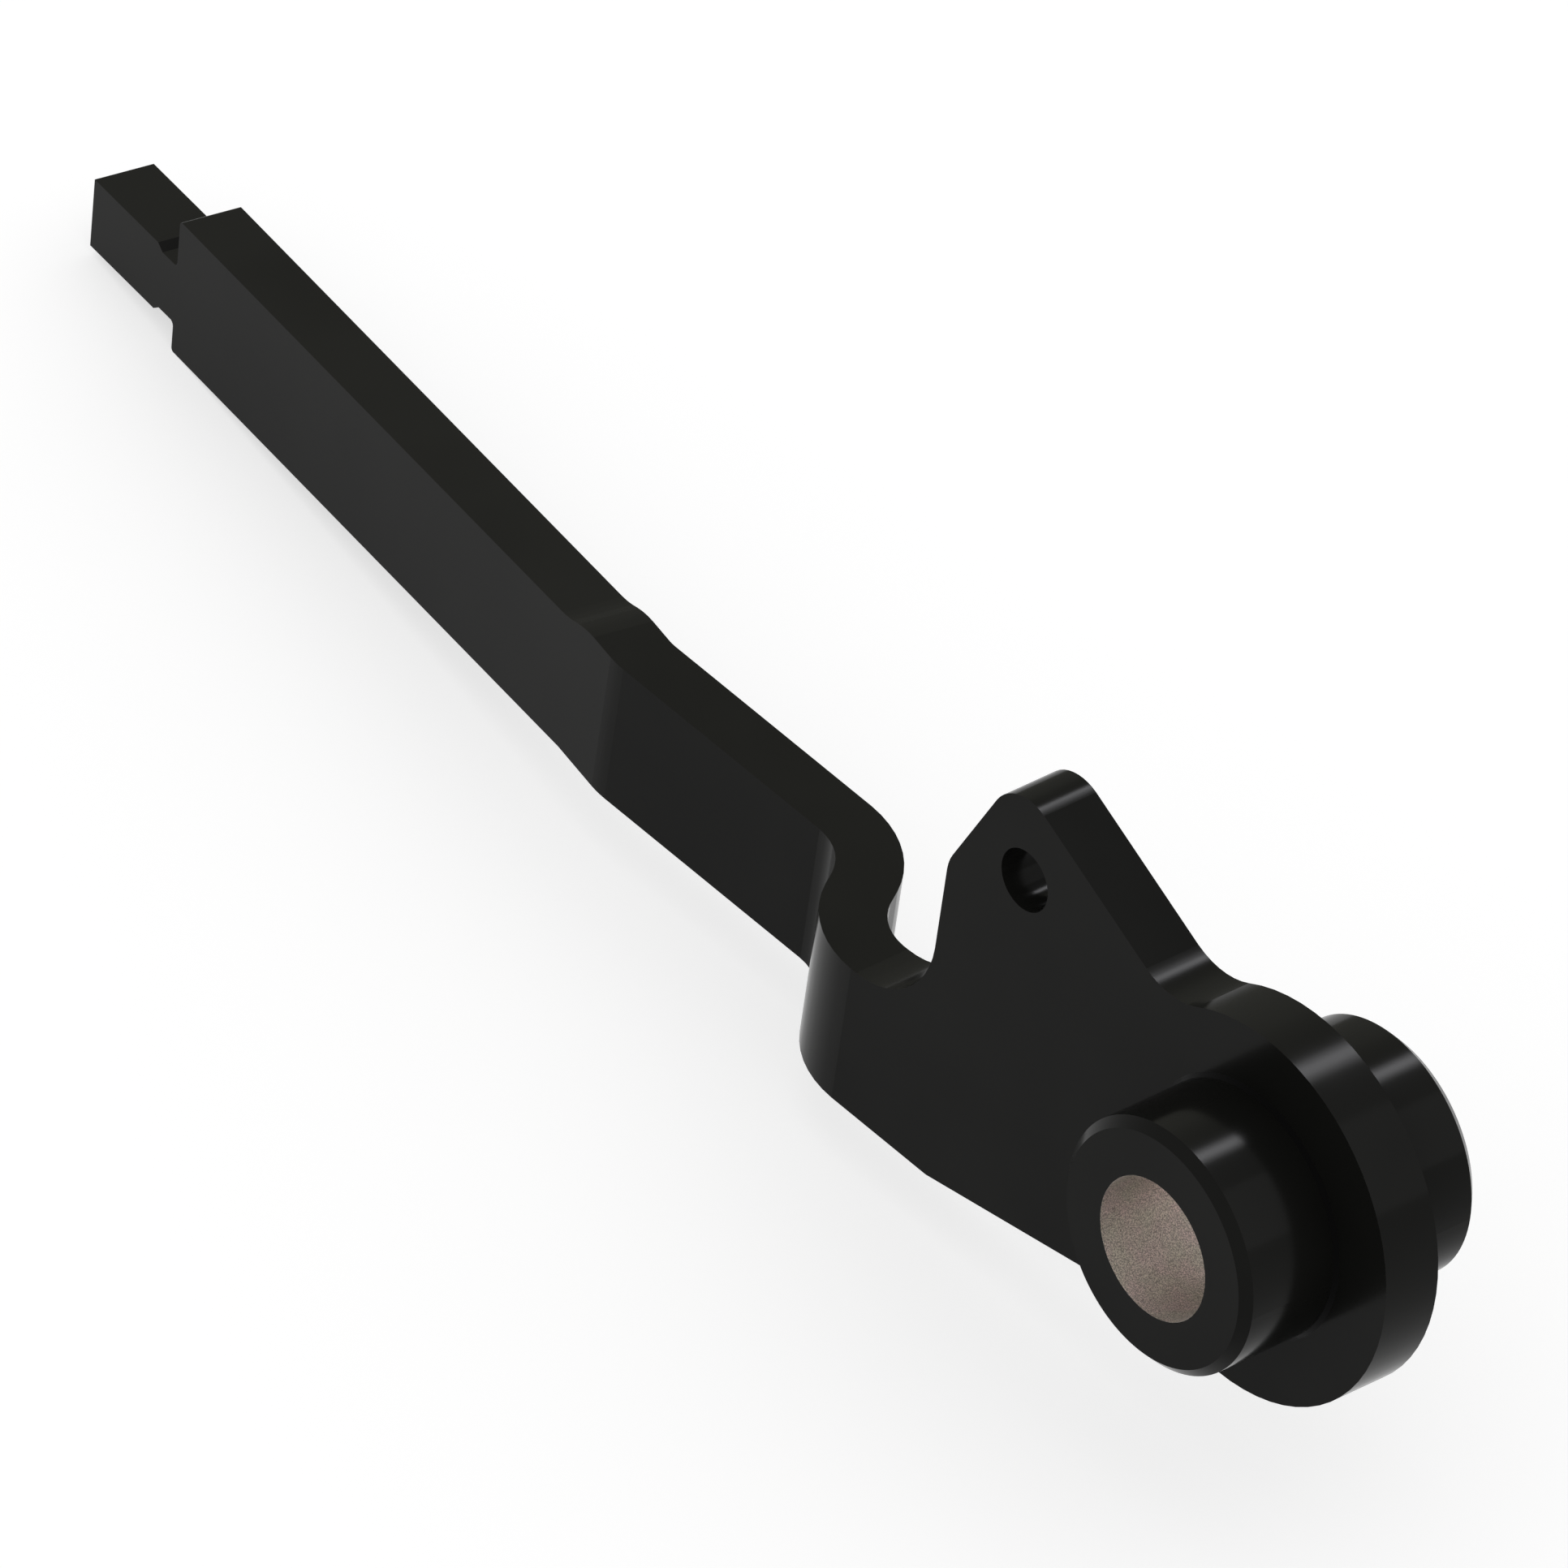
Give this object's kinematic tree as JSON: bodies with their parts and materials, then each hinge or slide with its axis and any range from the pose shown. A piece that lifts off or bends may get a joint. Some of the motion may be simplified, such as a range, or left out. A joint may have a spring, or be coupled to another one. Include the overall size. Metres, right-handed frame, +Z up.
{
  "type": "hydraulic control lever",
  "caption": "Bent flat-bar hand lever that turns on a bushed pivot boss, with a link ear beside the pivot, a joggle and a notched tongue for a grip.",
  "frame": {"origin": "centre of the pivot boss, on the pivot axis and half way through the plate", "axes": "+Y along the pivot axis to the rear, the side that the lever is joggled to; +Z up, along the bend lines, on the link ear's side; +X away from the tongue"},
  "size_m": [0.2659, 0.0584, 0.0684],
  "materials": {
    "black_paint": "gloss",
    "bush_metal": "satin"
  },
  "bodies": {
    "root": {"lever_plate": "black_paint", "pivot_boss": "black_paint", "pivot_bush": "bush_metal", "weld_front": "black_paint", "weld_rear": "black_paint"}
  },
  "joints": []
}
